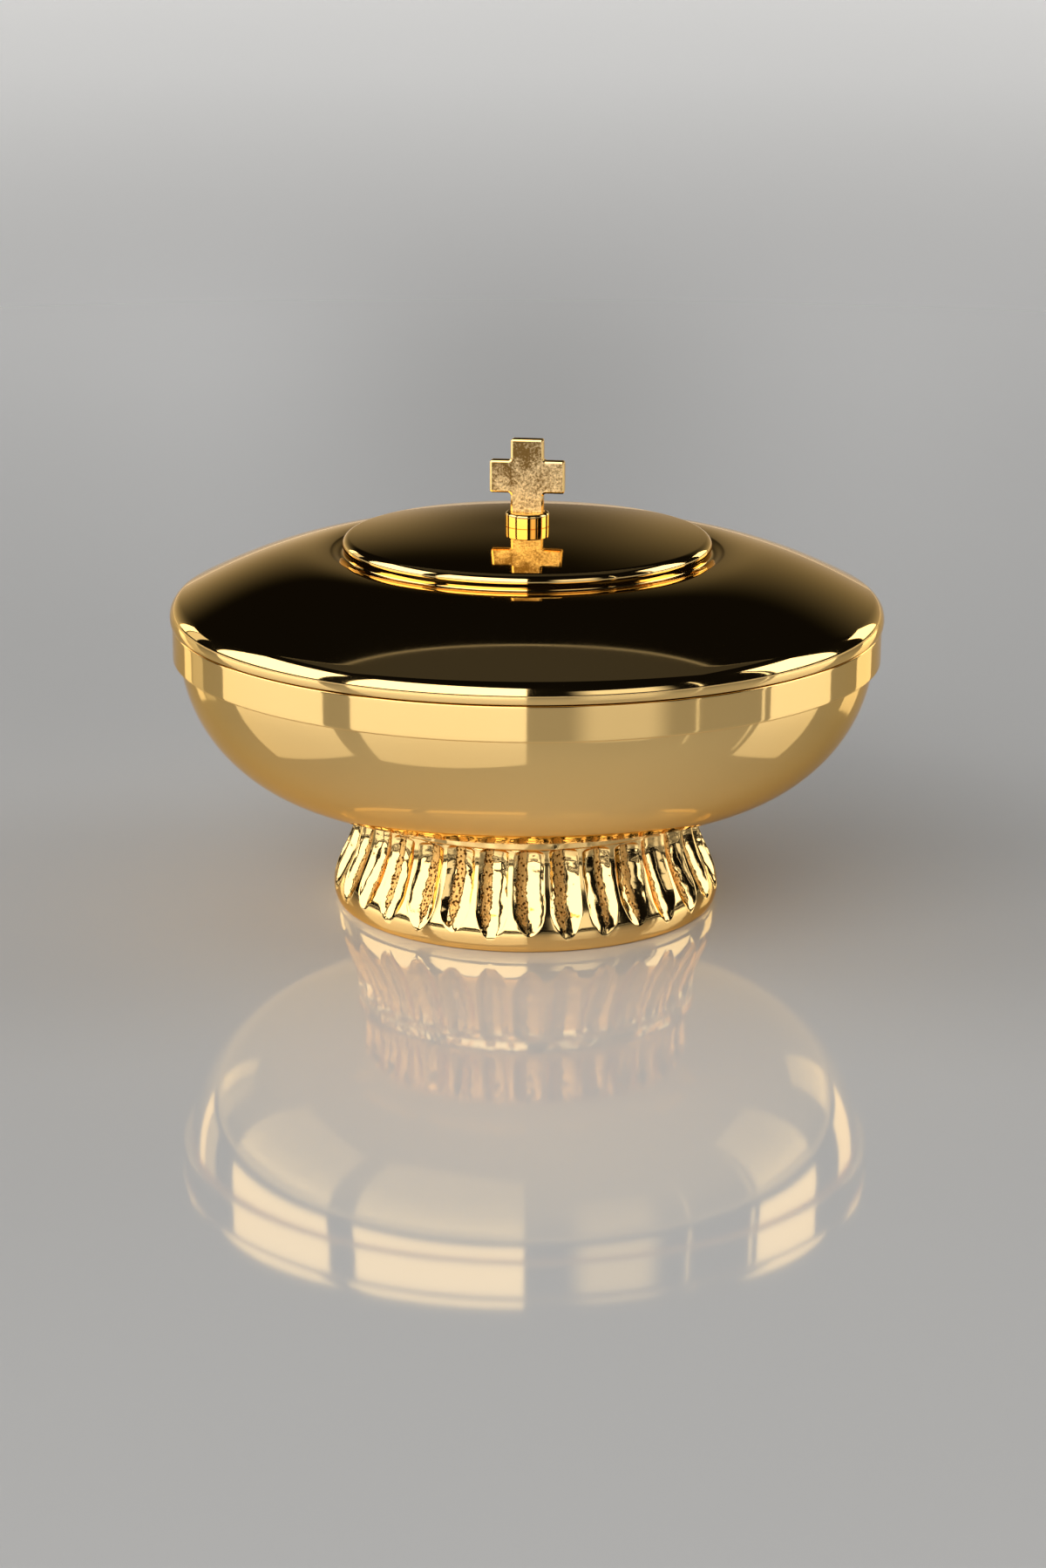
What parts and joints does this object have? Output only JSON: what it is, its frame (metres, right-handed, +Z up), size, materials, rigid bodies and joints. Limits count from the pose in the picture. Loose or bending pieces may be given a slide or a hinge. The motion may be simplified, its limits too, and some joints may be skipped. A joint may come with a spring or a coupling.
{
  "type": "ciborium",
  "caption": "Low covered bowl for hosts: a polished spun bowl with a plain rim band on a hollow fluted foot, and a domed lift-off lid topped by a plain flat cross on a short collar.",
  "frame": {"origin": "centre of the foot's resting face, on the vertical axis of the bowl", "axes": "+Z up along the bowl's axis, -Y towards the front that the cross faces, +X to the right seen from the front"},
  "size_m": [0.1608, 0.1608, 0.1063],
  "materials": {
    "polished_gold": "gold plated, mirror polished",
    "frosted_gold": "gold plated, satin with fine mottling",
    "cast_gold": "gold plated casting, polished ridges and pitted hollows",
    "plain_brass": "plain machined"
  },
  "bodies": {
    "base": {"bowl_shell": "polished_gold", "rim_band": "polished_gold", "foot_ring": "cast_gold", "foot_bridge_plate": "plain_brass", "bowl_stud": "plain_brass", "foot_washer": "plain_brass", "foot_nut": "plain_brass"},
    "lid": {"lid_shell": "polished_gold", "lid_locating_ring": "polished_gold", "finial_collar": "polished_gold", "finial_cross": "frosted_gold", "finial_stud": "plain_brass", "finial_washer": "plain_brass", "finial_nut": "plain_brass"}
  },
  "joints": [
    {"name": "lid_lift", "type": "slide", "parent": "base", "child": "lid", "axis": [0, 0, 1], "range_m": [0, 0.12]}
  ]
}
